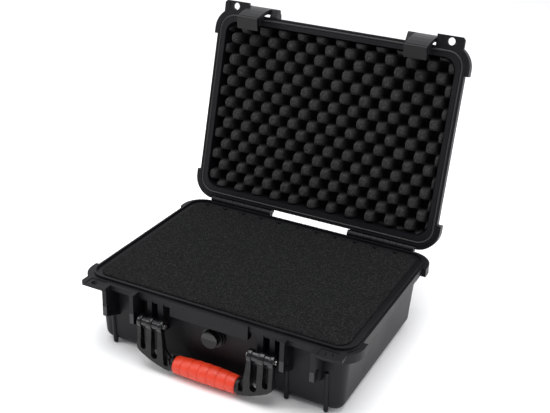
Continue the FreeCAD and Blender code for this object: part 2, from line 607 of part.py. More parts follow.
def grip():
    """Rubber sleeve, thicker at the middle: a bulged outline turned about the grip's axis."""
    sketch = doc.addObject("Sketcher::SketchObject", "grip_outline")
    corners = [("grip_half", "grip_end_size"), ("grip_half", "bar_size"),
               ("-grip_half", "bar_size"), ("-grip_half", "grip_end_size")]
    spots = [FreeCAD.Vector(size(x), size(y), 0) for x, y in corners]
    for start, finish in zip(spots, spots[1:]):
        sketch.addGeometry(Part.LineSegment(start, finish), False)
    rule = Sketcher.Constraint
    for turn in (0, 1):
        sketch.addConstraint(rule("Coincident", turn, 2, turn + 1, 1))
    for (x, y), (line, point) in zip(corners, ((0, 1), (1, 1), (2, 1), (2, 2))):
        for kind, text in (("DistanceX", x), ("DistanceY", y)):
            index = sketch.addConstraint(rule(kind, -1, 1, line, point, size(text)))
            bind(sketch, f"Constraints[{index}]", text)
    rise = "(grip_mid_size - grip_end_size)"
    radius = f"(grip_half * grip_half + {rise} * {rise}) / (2 * {rise})"
    centre = FreeCAD.Vector(0, size("grip_mid_size") - size(radius), 0)
    half_turn = math.asin(size("grip_half") / size(radius))
    circle = Part.Circle(centre, FreeCAD.Vector(0, 0, 1), size(radius))
    sketch.addGeometry(Part.ArcOfCircle(circle, math.pi / 2 - half_turn, math.pi / 2 + half_turn), False)
    sketch.addConstraint(rule("Coincident", 3, 1, 0, 1))
    sketch.addConstraint(rule("Coincident", 3, 2, 2, 2))
    index = sketch.addConstraint(rule("Radius", 3, size(radius)))
    bind(sketch, f"Constraints[{index}]", radius)
    turned = doc.addObject("Part::Revolution", "grip_sleeve")
    turned.Source = sketch
    turned.Axis = FreeCAD.Vector(1, 0, 0)
    turned.Angle = 360
    turned.Solid = True
    place(turned, y=GRIP_Y, z="grip_height")
    return turned


node("handle_grip", grip())


# ---------------------------------------------------------------- latches
def around(y, z, offsets):
    """Corners given as offsets from a point of the side view."""
    return [(f"{y} + ({dy})", f"{z} + ({dz})") for dy, dz in offsets]


PLATE_OUTSIDE = ((-4.8, 1), (-5.6, -12), (-5.4, -24), (-3.9, -36), (-1.6, -47.2))
PLATE_INSIDE = ((1, -47.2), (-1.3, -34), (-2.8, -22), (-3, -12), (-2.2, 1))
CHEEK_FRONT = ((-4, 0), (-4.5, -24), (-1.2, -46), (6, -46))
CHEEK_TIP = ((0, -4.4), (4.4, 0), (2, 4.5))
CHEEK_BACK = ((0, -25), (0, -6), (4, 0))
HOOK_BLOCK = ((4.6, -49), (5.8, -34), (7, -24.9), (8.6, -23.5), (12, -23.5), (13.2, -38), (15, -49))
HOOK_TOE = ((-1.2, -48), (-0.4, -51.9), (18.5, -49.4), (18.5, -45.6), (15.9, -45.6), (15.1, -47.6))
HOOK_Y = f"{LATCH_Y} + hook_pin_in"
HOOK_Z = f"{LATCH_Z} - hook_pin_drop"


def latch_lever():
    """Curved cover plate with two cheeks, hung on the lid's latch pin."""
    plate = prism("lever_plate", "YZ", around(LATCH_Y, LATCH_Z, PLATE_OUTSIDE + PLATE_INSIDE),
                  LATCH_IN, LATCH_OUT)
    pieces = [plate, rod("lever_barrel", "X", "latch_barrel_size", (LATCH_IN, LATCH_OUT), (LATCH_Y, LATCH_Z))]
    cheek_outline = (around(LATCH_Y, LATCH_Z, CHEEK_FRONT) + around(HOOK_Y, HOOK_Z, CHEEK_TIP)
                     + around(LATCH_Y, LATCH_Z, CHEEK_BACK))
    for name, start in (("inner", LATCH_IN), ("outer", f"{LATCH_OUT} - cheek")):
        pieces.append(prism(f"{name}_cheek", "YZ", cheek_outline, start, f"{start} + cheek"))
    across = (f"{LATCH_IN} - 1", f"{LATCH_OUT} + 1")
    bores = [rod("lever_bore", "X", "latch_pin_size + running_play", across, (LATCH_Y, LATCH_Z)),
             rod("lever_hook_bore", "X", "hook_pin_size", across, (HOOK_Y, HOOK_Z))]
    return cut("latch_lever_body", fuse("latch_lever_solid", pieces), bores)


def latch_hook():
    """Block on the lever's cross pin, with the flat toe that grips the catch ledge."""
    inside = (f"{LATCH_IN} + cheek + hook_side_play", f"{LATCH_OUT} - cheek - hook_side_play")
    block = prism("hook_block", "YZ", around(LATCH_Y, LATCH_Z, HOOK_BLOCK), *inside)
    toe = prism("hook_toe", "YZ", around(LATCH_Y, LATCH_Z, HOOK_TOE), LATCH_IN, LATCH_OUT)
    head = rod("hook_head", "X", "hook_head_size", inside, (HOOK_Y, HOOK_Z))
    bore = rod("hook_bore", "X", "hook_pin_size + running_play", (LATCH_IN, LATCH_OUT), (HOOK_Y, HOOK_Z))
    return cut("latch_hook_body", fuse("latch_hook_solid", [block, toe, head]), [bore])


LATCH_MOVES = [LATCH_LEAN, LID_OPEN]
PIECES = {
    "latch_pin": pin("latch_pin_rod", "latch_pin_size", (f"{LATCH_IN} - 7", f"{LATCH_OUT} + 5"),
                     (LATCH_Y, LATCH_Z)),
    "latch_lever": latch_lever(),
    "latch_hook": latch_hook(),
    "latch_hook_pin": pin("hook_pin_rod", "hook_pin_size", (f"{LATCH_IN} + 0.3", f"{LATCH_OUT} - 0.3"),
                          (HOOK_Y, HOOK_Z)),
}
for piece_name, piece_object in PIECES.items():
    pair(piece_name, piece_object, LATCH_MOVES)


# ---------------------------------------------------------------- pressure valve
SEAT = f"{FRONT} + valve_seat_in"
BACK = f"{FRONT} + valve_seat_in + valve_depth"
TAIL = f"{BACK} + valve_tail"
FACE = f"{FRONT} - valve_face_out"
VALVE = ("0", "valve_height")


def disc(name, radius, low, high):
    """A round piece on the valve's axis."""
    return rod(name, "Y", radius, (low, high), VALVE)


SEAL = disc("seal_disc", "valve_flange_size - 1", f"{SEAT} - seal_height", SEAT)
SEAL_HOLE = disc("seal_hole", "valve_stem_size", f"{SEAT} - 3", f"{SEAT} + 1")
node("valve_seal", cut("valve_seal_ring", SEAL, [SEAL_HOLE]))
VALVE_CORE = [disc("valve_flange", "valve_flange_size", f"{SEAT} - seal_height - valve_flange_height",
                   f"{SEAT} - seal_height"),
              disc("valve_stem", "valve_stem_size", f"{SEAT} - 2", TAIL)]
node("valve_body", cut("valve_body_core", fuse("valve_core", VALVE_CORE), [
    disc("valve_screw_bore", "valve_screw_size + running_play", f"{SEAT} - 5", BACK),
    disc("valve_membrane_seat", "membrane_size + 0.1", f"{TAIL} - 3", f"{TAIL} + 2"),
    disc("valve_air_way", "air_way_size", SEAT, f"{TAIL} + 2")]))
CAP = disc("valve_cap_disc", "valve_size", FACE, f"{SEAT} - 3.8")
node("valve_knob", fuse("valve_knob_body", [
    rounded("valve_cap", CAP, "0.8", lambda edge: abs(edge.CenterOfMass.y - size(FACE)) < 0.01),
    disc("valve_screw", "valve_screw_size", f"{SEAT} - 5", f"{BACK} - 2")]))
NUT = disc("nut_disc", "valve_nut_size", BACK, f"{BACK} + valve_nut_height")
node("valve_nut", cut("valve_nut_ring", NUT, [disc("nut_hole", "valve_stem_size", f"{BACK} - 1", TAIL)]))
node("valve_membrane", disc("membrane_disc", "membrane_size", f"{TAIL} - 3", f"{TAIL} - 2.2"))


# ---------------------------------------------------------------- check and write
doc.recompute()
failed = [obj.Name for obj in doc.Objects if {"Invalid", "Error"} & set(obj.State)]
bad = [name for name, obj in NODES.items() if obj.Shape.isNull() or not obj.Shape.isValid()]
loose = [name for name, obj in NODES.items() if len(obj.Shape.Solids) != 1]
if failed or bad or loose:
    raise RuntimeError(f"failed features {failed}, invalid sub-parts {bad}, not one solid {loose}")
os.makedirs("parts", exist_ok=True)
for name, obj in NODES.items():
    obj.Shape.exportStep(f"parts/{name}.step")
    bounds = obj.Shape.BoundBox
    print(f"{name:20s} volume {obj.Shape.Volume / 1000:8.1f} cm3   x {bounds.XMin:7.1f} {bounds.XMax:7.1f}"
          f"   y {bounds.YMin:7.1f} {bounds.YMax:7.1f}   z {bounds.ZMin:7.1f} {bounds.ZMax:7.1f}")
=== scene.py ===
import json
import math

import bpy
import numpy as np
from mathutils import Matrix, Vector, noise


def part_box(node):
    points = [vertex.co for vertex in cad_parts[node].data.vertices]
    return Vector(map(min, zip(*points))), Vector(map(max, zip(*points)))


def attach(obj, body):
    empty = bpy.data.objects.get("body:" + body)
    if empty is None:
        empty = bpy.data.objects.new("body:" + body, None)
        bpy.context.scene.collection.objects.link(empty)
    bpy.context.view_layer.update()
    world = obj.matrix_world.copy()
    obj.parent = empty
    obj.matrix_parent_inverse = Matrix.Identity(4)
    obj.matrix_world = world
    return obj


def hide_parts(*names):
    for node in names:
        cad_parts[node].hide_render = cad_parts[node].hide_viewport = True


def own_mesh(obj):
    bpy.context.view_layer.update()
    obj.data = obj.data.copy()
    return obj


# Open hard equipment case: block foam in the base, egg-crate foam in the lid.
# Metres, in the frame's own axes: +Z up, +X right, the front towards -Y.
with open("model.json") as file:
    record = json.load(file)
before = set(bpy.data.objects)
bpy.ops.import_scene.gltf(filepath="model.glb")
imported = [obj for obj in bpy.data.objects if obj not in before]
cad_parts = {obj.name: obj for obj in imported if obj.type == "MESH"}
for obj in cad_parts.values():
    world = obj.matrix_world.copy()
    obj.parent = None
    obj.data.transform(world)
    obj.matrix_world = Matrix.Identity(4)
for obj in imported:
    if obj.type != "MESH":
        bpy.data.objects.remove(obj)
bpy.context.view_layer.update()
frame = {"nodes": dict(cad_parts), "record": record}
NODES = frame["nodes"]
JOINTS = {joint["name"]: joint for joint in frame["record"]["behaviour"]["joints"]}
NODE_SLOTS = {row["node"]: row["material_slot"] for row in frame["record"]["subparts"]}
MM = 0.001

# ---------------------------------------------------------------- camera
# Directions of view, distance and aim in the frame; the shift sets the case off the picture's middle.
CAMERA_YAW, CAMERA_PITCH, CAMERA_ROLL = math.radians(24.60), math.radians(24.51), math.radians(2.81)
CAMERA_DISTANCE = 1.4031
AIM_RIGHT, AIM_UP = 0.0613, 0.2022
LENS = 62.23
SHIFT_X, SHIFT_Y = -0.0497, -0.0251


def make_camera():
    back = Vector((math.sin(CAMERA_YAW) * math.cos(CAMERA_PITCH),
                   -math.cos(CAMERA_YAW) * math.cos(CAMERA_PITCH), math.sin(CAMERA_PITCH)))
    level = Vector((math.cos(CAMERA_YAW), math.sin(CAMERA_YAW), 0))
    upright = back.cross(level)
    right = level * math.cos(CAMERA_ROLL) + upright * math.sin(CAMERA_ROLL)
    up = back.cross(right)
    camera = bpy.data.objects.new("camera", bpy.data.cameras.new("camera"))
    bpy.context.collection.objects.link(camera)
    turn = Matrix((right, up, back)).transposed().to_4x4()
    place = right * AIM_RIGHT + up * AIM_UP + back * CAMERA_DISTANCE
    camera.matrix_world = Matrix.Translation(place) @ turn
    camera.data.lens = LENS
    camera.data.shift_x, camera.data.shift_y = SHIFT_X, SHIFT_Y
    bpy.context.scene.camera = camera
    bpy.context.scene.view_settings.view_transform = "Standard"


make_camera()


# ---------------------------------------------------------------- stage and light
FLOOR_HALF, FLOOR_DROP, FLOOR_SHADE = 12, 0.5 * MM, 0.97
FRONT_LIGHT, DAYLIGHT = 0.35, 0.86


def area_light(name, place, target, width, height, power, tint=(1, 1, 1)):
    data = bpy.data.lights.new(name, "AREA")
    data.shape = "RECTANGLE"
    data.size, data.size_y = width, height
    data.energy = power
    data.color = tint
    light = bpy.data.objects.new(name, data)
    bpy.context.collection.objects.link(light)
    light.location = place
    light.rotation_euler = (Vector(target) - Vector(place)).to_track_quat("-Z", "Y").to_euler()
    return light


def make_floor():
    mesh = bpy.data.meshes.new("floor")
    half = FLOOR_HALF
    corners = [(-half, -half, 0), (half, -half, 0), (half, half, 0), (-half, half, 0)]
    mesh.from_pydata(corners, [], [(0, 1, 2, 3)])
    floor = bpy.data.objects.new("floor", mesh)
    bpy.context.collection.objects.link(floor)
    floor.location.z = -FLOOR_DROP
    material = bpy.data.materials.new("floor_white")
    material.use_nodes = True
    shader = material.node_tree.nodes["Principled BSDF"]
    shader.inputs["Base Color"].default_value = (FLOOR_SHADE, FLOOR_SHADE, FLOOR_SHADE, 1)
    shader.inputs["Roughness"].default_value = 0.9
    shader.inputs["Specular IOR Level"].default_value = 0.1
    mesh.materials.append(material)


def make_world():
    """Even light from all round, weaker from the front."""
    world = bpy.data.worlds.new("studio")
    bpy.context.scene.world = world
    world.use_nodes = True
    nodes, links = world.node_tree.nodes, world.node_tree.links
    background = nodes["Background"]
    parts = nodes.new("ShaderNodeSeparateXYZ")
    links.new(nodes.new("ShaderNodeTexCoord").outputs["Generated"], parts.inputs["Vector"])
    shade = nodes.new("ShaderNodeMapRange")
    shade.inputs["From Min"].default_value = -1.0
    shade.inputs["From Max"].default_value = 0.2
    shade.inputs["To Min"].default_value = FRONT_LIGHT
    shade.inputs["To Max"].default_value = 1.0
    links.new(parts.outputs["Y"], shade.inputs["Value"])
    tint = nodes.new("ShaderNodeVectorMath")
    tint.operation = "SCALE"
    tint.inputs[0].default_value = (0.97, 0.98, 1.0)
    links.new(shade.outputs["Result"], tint.inputs["Scale"])
    links.new(tint.outputs["Vector"], background.inputs["Color"])
    background.inputs["Strength"].default_value = DAYLIGHT


make_floor()
make_world()
area_light("top_softbox", (0.0, -0.15, 2.4), (0, 0.05, 0.1), 2.2, 2.2, 62)
area_light("left_softbox", (-1.7, -1.3, 1.5), (0, 0, 0.2), 1.2, 1.2, 16)
area_light("right_softbox", (1.8, 0.9, 0.7), (0.1, 0, 0.1), 1.3, 1.3, 16)


# ---------------------------------------------------------------- materials
# Colours are linear. Within KNUCKLE_RADIUS of the handle's pivot line the plastic is glossier.
PIVOT = Vector(JOINTS["handle_pivot"]["pos_m"])
KNUCKLE_RADIUS, KNUCKLE_ROUGHNESS, KNUCKLE_SPECULAR = 9.0 * MM, 0.16, 0.45


def links_of(material):
    tree = material.node_tree
    return tree.nodes, tree.links


def noise_node(nodes, links, coordinate, scale, detail=3.0, rough=0.6):
    texture = nodes.new("ShaderNodeTexNoise")
    texture.inputs["Scale"].default_value = scale
    texture.inputs["Detail"].default_value = detail
    texture.inputs["Roughness"].default_value = rough
    links.new(coordinate, texture.inputs["Vector"])
    return texture.outputs["Fac"]


def ramp_node(nodes, links, factor, stops):
    ramp = nodes.new("ShaderNodeValToRGB")
    elements = ramp.color_ramp.elements
    while len(elements) < len(stops):
        elements.new(0.5)
    for element, (position, colour) in zip(elements, stops):
        element.position = position
        element.color = (*colour, 1) if isinstance(colour, tuple) else (colour, colour, colour, 1)
    links.new(factor, ramp.inputs["Fac"])
    return ramp.outputs["Color"]


def bump_node(nodes, links, height, strength, distance, below=None):
    bump = nodes.new("ShaderNodeBump")
    bump.inputs["Strength"].default_value = strength
    bump.inputs["Distance"].default_value = distance
    links.new(height, bump.inputs["Height"])
    if below:
        links.new(below, bump.inputs["Normal"])
    return bump.outputs["Normal"]


def near_pivot(nodes, links, place):
    """One within the handle's knuckles, which are glossier than the rest, and nought away from them."""
    flat = nodes.new("ShaderNodeVectorMath")
    flat.operation = "MULTIPLY"
    flat.inputs[1].default_value = (0, 1, 1)
    links.new(place, flat.inputs[0])
    away = nodes.new("ShaderNodeVectorMath")
    away.operation = "DISTANCE"
    away.inputs[1].default_value = (0, PIVOT.y, PIVOT.z)
    links.new(flat.outputs["Vector"], away.inputs[0])
    inside = nodes.new("ShaderNodeMath")
    inside.operation = "LESS_THAN"
    inside.inputs[1].default_value = KNUCKLE_RADIUS
    links.new(away.outputs["Value"], inside.inputs[0])
    return inside.outputs["Value"]


def plastic(name, dark, light, rough_low, rough_high, grain, grain_depth, specular):
    """Moulded plastic: fine grain in the surface, with slow changes of shade and gloss."""
    material = bpy.data.materials.new(name)
    material.use_nodes = True
    nodes, links = links_of(material)
    shader = nodes["Principled BSDF"]
    place = nodes.new("ShaderNodeTexCoord").outputs["Object"]
    slow = noise_node(nodes, links, place, 14, 4)
    fine = noise_node(nodes, links, place, grain, 2)
    colour = ramp_node(nodes, links, slow, [(0.3, dark), (0.7, light)])
    rough = ramp_node(nodes, links, slow, [(0.25, rough_low), (0.75, rough_high)])
    links.new(colour, shader.inputs["Base Color"])
    polished = nodes.new("ShaderNodeMix")
    links.new(near_pivot(nodes, links, place), polished.inputs["Factor"])
    links.new(rough, polished.inputs["A"])
    polished.inputs["B"].default_value = KNUCKLE_ROUGHNESS
    links.new(polished.outputs["Result"], shader.inputs["Roughness"])
    gloss = nodes.new("ShaderNodeMix")
    links.new(near_pivot(nodes, links, place), gloss.inputs["Factor"])
    gloss.inputs["A"].default_value = specular
    gloss.inputs["B"].default_value = KNUCKLE_SPECULAR
    links.new(gloss.outputs["Result"], shader.inputs["Specular IOR Level"])
    links.new(bump_node(nodes, links, fine, 0.35, grain_depth), shader.inputs["Normal"])
    return material


def foam(name, dark, mid, light, pore, sheen, painted_hollow_shade=1.0):
    """Open-cell foam: pores a millimetre or less across, a few catching the light, hollows darkened with
    painted shade.
    """
    material = bpy.data.materials.new(name)
    material.use_nodes = True
    nodes, links = links_of(material)
    shader = nodes["Principled BSDF"]
    place = nodes.new("ShaderNodeTexCoord").outputs["Object"]
    cells = nodes.new("ShaderNodeTexVoronoi")
    cells.inputs["Scale"].default_value = pore
    links.new(place, cells.inputs["Vector"])
    grit = noise_node(nodes, links, place, pore * 0.55, 4, 0.7)
    colour = ramp_node(nodes, links, grit, [(0.32, dark), (0.52, mid), (0.74, light)])
    # Painted shade: the deeper the face lies in a hollow, the darker its colour.
    hollow = nodes.new("ShaderNodeAttribute")
    hollow.attribute_name = "hollow"
    shade = ramp_node(nodes, links, hollow.outputs["Fac"], [(0.1, 1.0), (0.8, painted_hollow_shade)])
    product = nodes.new("ShaderNodeVectorMath")
    product.operation = "MULTIPLY"
    links.new(colour, product.inputs[0])
    links.new(shade, product.inputs[1])
    links.new(product.outputs["Vector"], shader.inputs["Base Color"])
    shader.inputs["Roughness"].default_value = 0.95
    shader.inputs["Specular IOR Level"].default_value = 0.06
    shader.inputs["Sheen Weight"].default_value = sheen
    shader.inputs["Sheen Roughness"].default_value = 0.6
    coarse = bump_node(nodes, links, grit, 0.6, 0.5 * MM)
    links.new(bump_node(nodes, links, cells.outputs["Distance"], 0.7, 0.4 * MM, coarse),
              shader.inputs["Normal"])
    return material


def steel(name):
    """Drawn steel rod with fine lines running round it."""
    material = bpy.data.materials.new(name)
    material.use_nodes = True
    nodes, links = links_of(material)
    shader = nodes["Principled BSDF"]
    place = nodes.new("ShaderNodeTexCoord").outputs["Object"]
    stretch = nodes.new("ShaderNodeMapping")
    stretch.inputs["Scale"].default_value = (6, 1, 1)
    links.new(place, stretch.inputs["Vector"])
    lines = noise_node(nodes, links, stretch.outputs["Vector"], 900, 2)
    links.new(ramp_node(nodes, links, lines, [(0.3, 0.30), (0.7, 0.44)]), shader.inputs["Base Color"])
    links.new(ramp_node(nodes, links, lines, [(0.3, 0.25), (0.7, 0.42)]), shader.inputs["Roughness"])
    shader.inputs["Metallic"].default_value = 1.0
    return material


def grip_rubber(name):
    """Soft orange-red overmould, slightly chalky, with a fine grain."""
    material = bpy.data.materials.new(name)
    material.use_nodes = True
    nodes, links = links_of(material)
    shader = nodes["Principled BSDF"]
    place = nodes.new("ShaderNodeTexCoord").outputs["Object"]
    slow = noise_node(nodes, links, place, 45, 4)
    fine = noise_node(nodes, links, place, 1400, 2)
    links.new(ramp_node(nodes, links, slow, [(0.3, (0.60, 0.030, 0.0065)), (0.7, (0.70, 0.044, 0.0110))]),
              shader.inputs["Base Color"])
    links.new(ramp_node(nodes, links, slow, [(0.3, 0.38), (0.7, 0.5)]), shader.inputs["Roughness"])
    shader.inputs["Specular IOR Level"].default_value = 0.5
    shader.inputs["Sheen Weight"].default_value = 0.02
    links.new(bump_node(nodes, links, fine, 0.3, 0.12 * MM), shader.inputs["Normal"])
    return material


MATERIALS = {
    "shell_plastic": plastic("shell_plastic", (0.0030, 0.0032, 0.0042), (0.0044, 0.0047, 0.0062),
                             0.42, 0.52, 2600, 0.10 * MM, 0.20),
    "trim_plastic": plastic("trim_plastic", (0.0030, 0.0031, 0.0036), (0.0042, 0.0044, 0.0050),
                            0.30, 0.40, 1800, 0.04 * MM, 0.26),
    "block_foam": foam("block_foam", (0.0022, 0.0024, 0.0026), (0.0070, 0.0074, 0.0076),
                       (0.0300, 0.0300, 0.0280), 900, 0.006),
    # The egg-crate foam's hollows are darkened with painted shade.
    "egg_foam": foam("egg_foam", (0.014, 0.0140, 0.0142), (0.027, 0.0266, 0.0266),
                     (0.064, 0.062, 0.060), 700, 0.02, 0.26),
    "grip_rubber": grip_rubber("grip_rubber"),
    "seal_rubber": plastic("seal_rubber", (0.012, 0.012, 0.013), (0.018, 0.018, 0.019), 0.4, 0.5,
                           1500, 0.05 * MM, 0.45),
    "pin_steel": steel("pin_steel"),
}
for node_name, node_object in NODES.items():
    node_object.data.materials.clear()
    node_object.data.materials.append(MATERIALS[NODE_SLOTS[node_name]])


def finish_piece(piece, slot, body, *replaced):
    """Give a new piece its material and the body that it moves with."""
    piece.data.materials.clear()
    piece.data.materials.append(MATERIALS[slot])
    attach(piece, body)
    if replaced:
        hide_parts(*replaced)
    return piece


def mesh_piece(name, points, faces, smooth=True):
    mesh = bpy.data.meshes.new(name)
    mesh.from_pydata([tuple(point) for point in points], [], faces)
    mesh.update()
    if smooth:
        mesh.polygons.foreach_set("use_smooth", [True] * len(mesh.polygons))
    piece = bpy.data.objects.new(name, mesh)
    bpy.context.collection.objects.link(piece)
    return piece


# ---------------------------------------------------------------- the lid, closed and open
HINGE = JOINTS["lid_hinge"]
HINGE_PLACE = Vector(HINGE["pos_m"])
LID_OPEN = (Matrix.Translation(HINGE_PLACE)
            @ Matrix.Rotation(-math.radians(HINGE["range_deg"][1]), 4, "X")
            @ Matrix.Translation(-HINGE_PLACE))


def closed_box(node):
    """Lowest and highest corners of a lid piece with the lid turned shut."""
    shut = LID_OPEN.inverted()
    points = np.array([shut @ vertex.co for vertex in NODES[node].data.vertices])
    return Vector(points.min(axis=0)), Vector(points.max(axis=0))


# ---------------------------------------------------------------- foam blocks
PEAK_DEPTH = 26 * MM
SIDE_LEVEL, CUT_ROUGHNESS, CUT_SCALE = 5 * MM, 0.35 * MM, 160
EDGE_ROUND, EDGE_SHARE = 1.6 * MM, 0.55
FOAM_RADIUS = 18 * MM
FACE_DROP, FACE_WAVE, WAVE_SCALE = 0.3 * MM, 0.25 * MM, 25


def into_outline(x, y, half_x, half_y, radius):
    """Press the corners of a rectangle into round ones, leaving the rest where it is."""
    over_x, over_y = abs(x) - (half_x - radius), abs(y) - (half_y - radius)
    if over_x <= 0 or over_y <= 0:
        return x, y
    u, v = over_x / radius, over_y / radius
    round_x = (half_x - radius) + radius * u * math.sqrt(1 - v * v / 2)
    round_y = (half_y - radius) + radius * v * math.sqrt(1 - u * u / 2)
    return math.copysign(round_x, x), math.copysign(round_y, y)


def foam_block(name, face_half, back_half, radius, face_z, back_z, step, relief):
    """A foam block as a fine grid: its face shaped by relief(x, y, edge), its back flat."""
    across = 2 * round(face_half[0] / step)
    along = 2 * round(face_half[1] / step)
    inward = 1 if back_z > face_z else -1
    points, faces, hollows = [], [], []
    for j in range(along + 1):
        for i in range(across + 1):
            flat_x = face_half[0] * (2 * i / across - 1)
            flat_y = face_half[1] * (2 * j / along - 1)
            x, y = into_outline(flat_x, flat_y, *face_half, radius)
            edge = min(face_half[0] - abs(flat_x), face_half[1] - abs(flat_y))
            shift_x, shift_y, depth = relief(x, y, edge)
            points.append((x + shift_x, y + shift_y, face_z + inward * depth))
            # Each point's depth, kept for the foam's painted shade in the hollows.
            hollows.append(min(1.0, depth / PEAK_DEPTH))
    row = across + 1
    for j in range(along):
        for i in range(across):
            corner = j * row + i
            quad = (corner, corner + 1, corner + row + 1, corner + row)
            faces.append(quad if inward < 0 else quad[::-1])
    last = along * row
    border = (list(range(across)) + [j * row + across for j in range(along)]
              + [last + i for i in range(across, 0, -1)] + [j * row for j in range(along, 0, -1)])
    shrink = (back_half[0] / face_half[0], back_half[1] / face_half[1])
    levels = max(3, round(abs(back_z - face_z) / SIDE_LEVEL))
    ring = border
    for level in range(1, levels + 1):
        share = level / levels
        lower = []
        for spot in border:
            x, y, z = points[spot]
            rough = CUT_ROUGHNESS * noise.noise(Vector((x, y, z + level)) * CUT_SCALE)
            wide_x, wide_y = 1 + (shrink[0] - 1) * share, 1 + (shrink[1] - 1) * share
            lower.append(len(points))
            points.append((x * wide_x + rough, y * wide_y + rough, z + (back_z - z) * share))
        for k in range(len(border)):
            quad = (ring[k], lower[k], lower[(k + 1) % len(border)], ring[(k + 1) % len(border)])
            faces.append(quad if inward < 0 else quad[::-1])
        ring = lower
    faces.append(tuple(ring[::-1]) if inward < 0 else tuple(ring))
    piece = mesh_piece(name, points, faces)
    shade = piece.data.attributes.new("hollow", "FLOAT", "POINT")
    shade.data.foreach_set("value", hollows + [0.0] * (len(points) - len(hollows)))
    return piece


def rounded_edge(edge):
    """How far the face has dropped this near to the block's edge."""
    if edge >= EDGE_ROUND:
        return 0.0
    run = 1 - edge / EDGE_ROUND
    return EDGE_ROUND * EDGE_SHARE * (1 - math.sqrt(max(0.0, 1 - run * run)))


# Dents along the rear edge. The foam swells past its CAD block by SIDE_BULGE at each side and by
# DEPTH_BULGE at the front and rear. FOAM_PRESSED, the share of its height left under the lid, only makes the
# upper layer's mesh its own.
DENT_PITCH, DENT_AT, DENT_WIDTH, DENT_DEPTH = 32 * MM, -8.5 * MM, 7 * MM, 4.2 * MM
DENT_REACH = 9 * MM
DEPTH_BULGE, SIDE_BULGE = 1.8 * MM, 0.6 * MM
FOAM_PRESSED = 0.945
BACK_TAPER = 4 * MM
FACE_STEP, HIDDEN_STEP = 2.5 * MM, 8 * MM


def block_relief(half_y):
    def relief(x, y, edge):
        """Nearly flat face, with shallow dents where the rear edge meets the rim."""
        wave = FACE_WAVE * noise.noise(Vector((x, y, 0)) * WAVE_SCALE)
        offset = ((x - DENT_AT) / DENT_PITCH + 0.5) % 1 * DENT_PITCH - DENT_PITCH / 2
        near = max(0.0, 1 - (half_y - y) / DENT_REACH)
        dent = DENT_DEPTH * near * math.exp(-((offset / DENT_WIDTH) ** 2) * 4)
        return 0.0, -dent, FACE_DROP + wave + rounded_edge(edge) + dent
    return relief


def make_block_foam(node, step, relief_for, side_bulge=0.0, depth_bulge=0.0, pressed=1.0):
    """One layer of block foam in the base; pressed, the share of it left when the lid is shut, only gives
    the piece its own mesh when below one.
    """
    low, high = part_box(node)
    half = ((high[0] - low[0]) / 2 + side_bulge, (high[1] - low[1]) / 2 + depth_bulge)
    back_half = (half[0] - BACK_TAPER, half[1] - BACK_TAPER)
    piece = foam_block(node + "_soft", half, back_half, FOAM_RADIUS, high[2], low[2], step,
                       relief_for(half[1]))
    if pressed < 1:
        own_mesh(piece)
    return finish_piece(piece, "block_foam", "base", node)


def plain_relief(half_y):
    def relief(x, y, edge):
        """Nearly flat face all over, for a layer that another one covers."""
        wave = FACE_WAVE * noise.noise(Vector((x, y, 1)) * WAVE_SCALE)
        return 0.0, 0.0, FACE_DROP + wave + rounded_edge(edge)
    return relief


make_block_foam("base_foam_upper", FACE_STEP, block_relief, SIDE_BULGE, DEPTH_BULGE, FOAM_PRESSED)
make_block_foam("base_foam_lower", HIDDEN_STEP, plain_relief)
make_block_foam("base_foam_pad", HIDDEN_STEP, plain_relief)

# Egg-crate foam: peaks and hollows in a chequer, the sheet cut slightly askew.
PEAK_PITCH_X, PEAK_PITCH_Y = 32.3 * MM, 34.2 * MM
PEAK_AT_X, PEAK_AT_Y = 8.9 * MM, 6.3 * MM
SHEET_TURN = math.radians(-1.77)
PEAK_SHARPNESS, PEAK_LEVEL = 4.2, -0.02
PEAK_CROWN, PEAK_WOBBLE, WOBBLE_SCALE = 1.3 * MM, 0.10, 30
SHEET_DROP, SHEET_TAPER, SHEET_STEP = 0.4 * MM, 6 * MM, 1.8 * MM


def egg_relief(x, y, edge):
    """Depth below the tallest peaks: flat-topped blocks and hollows in a chequer."""
    turned_x = (x - PEAK_AT_X) * math.cos(SHEET_TURN) + (y - PEAK_AT_Y) * math.sin(SHEET_TURN)
    turned_y = -(x - PEAK_AT_X) * math.sin(SHEET_TURN) + (y - PEAK_AT_Y) * math.cos(SHEET_TURN)
    wobble = PEAK_WOBBLE * noise.noise(Vector((x, y, 2)) * WOBBLE_SCALE)
    wave = (math.cos(2 * math.pi * turned_x / PEAK_PITCH_X)
            * math.cos(2 * math.pi * turned_y / PEAK_PITCH_Y))
    rise = math.tanh(PEAK_SHARPNESS * (wave + wobble - PEAK_LEVEL))
    top = math.tanh(PEAK_SHARPNESS * (1 - PEAK_LEVEL))
    bottom = -math.tanh(PEAK_SHARPNESS * (1 + PEAK_LEVEL))
    share = (rise - bottom) / (top - bottom)
    depth = PEAK_DEPTH * (1 - min(1.0, max(0.0, share))) + PEAK_CROWN * (1 - max(0.0, wave)) ** 3
    return 0.0, 0.0, SHEET_DROP + depth + rounded_edge(edge)


def make_egg_foam():
    """The lid's sheet, built with the lid shut and then turned open with it."""
    low, high = closed_box("lid_foam")
    half = ((high.x - low.x) / 2, (high.y - low.y) / 2)
    back_half = (half[0] - SHEET_TAPER, half[1] - SHEET_TAPER)
    piece = foam_block("lid_foam_egg_crate", half, back_half, FOAM_RADIUS, low.z, high.z, SHEET_STEP,
                       egg_relief)
    piece.data.transform(LID_OPEN)
    finish_piece(piece, "egg_foam", "lid", "lid_foam")


make_egg_foam()


# ---------------------------------------------------------------- lid seal
SEAL_GROOVE, SEAL_PROUD = 6.4 * MM, 0.2 * MM
SEAL_WIDTH, SEAL_CORNER = 3.6 * MM, 24.8 * MM


